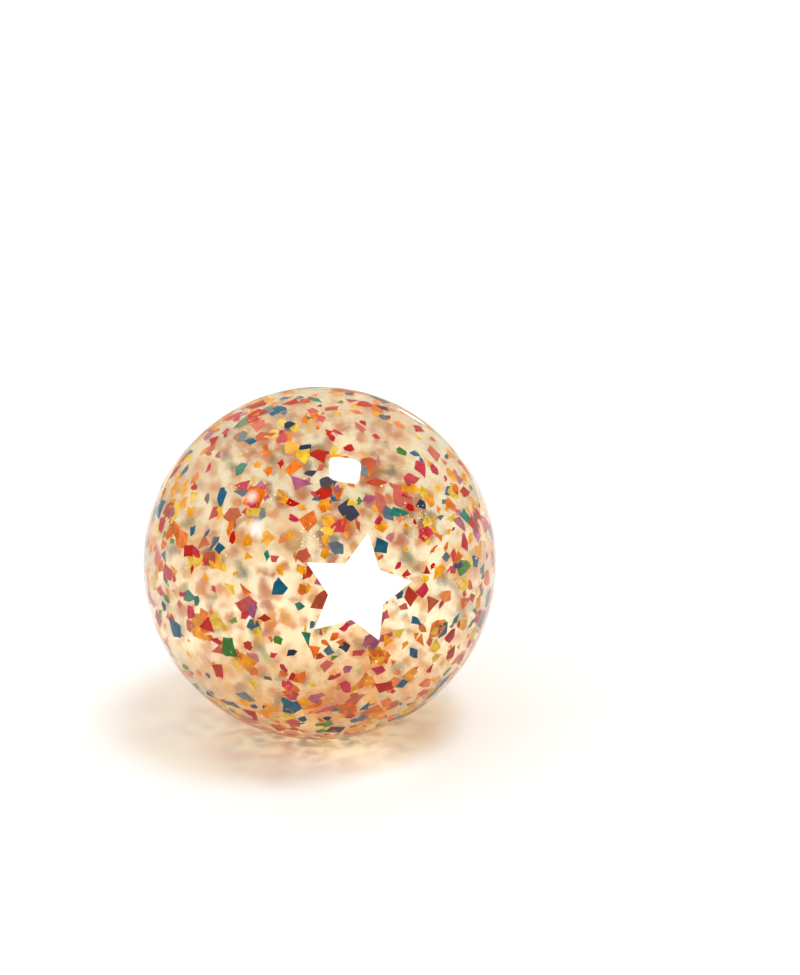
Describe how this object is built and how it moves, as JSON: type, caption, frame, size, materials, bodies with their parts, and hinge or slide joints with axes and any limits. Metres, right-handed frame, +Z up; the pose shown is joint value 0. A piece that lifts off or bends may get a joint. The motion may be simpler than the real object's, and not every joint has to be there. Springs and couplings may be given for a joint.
{
  "type": "confetti play ball",
  "caption": "Inflated ball of clear soft vinyl with coloured confetti flakes cast into its wall, a plain white star sticker on the front and an air valve stopper at the back.",
  "frame": {"origin": "middle of the small flat patch that the ball stands on", "axes": "+Z up, through the middle of the ball; the star faces -Y, a little to the right; +X to the right as seen from the front"},
  "size_m": [0.15, 0.1506, 0.1493],
  "materials": {
    "clear_vinyl": "clear, faintly cream, glossy outside and a little hazy inside",
    "milky_vinyl": "milky, satin",
    "white_film": "opaque white film, satin",
    "red_flake": "dyed film",
    "orange_flake": "dyed film",
    "amber_flake": "dyed film",
    "yellow_flake": "dyed film",
    "pink_flake": "dyed film",
    "mauve_flake": "dyed film",
    "blue_flake": "dyed film",
    "navy_flake": "dyed film",
    "teal_flake": "dyed film",
    "green_flake": "dyed film"
  },
  "bodies": {
    "root": {"ball": "clear_vinyl", "valve_stopper": "milky_vinyl", "star_sticker": "white_film"}
  },
  "joints": []
}
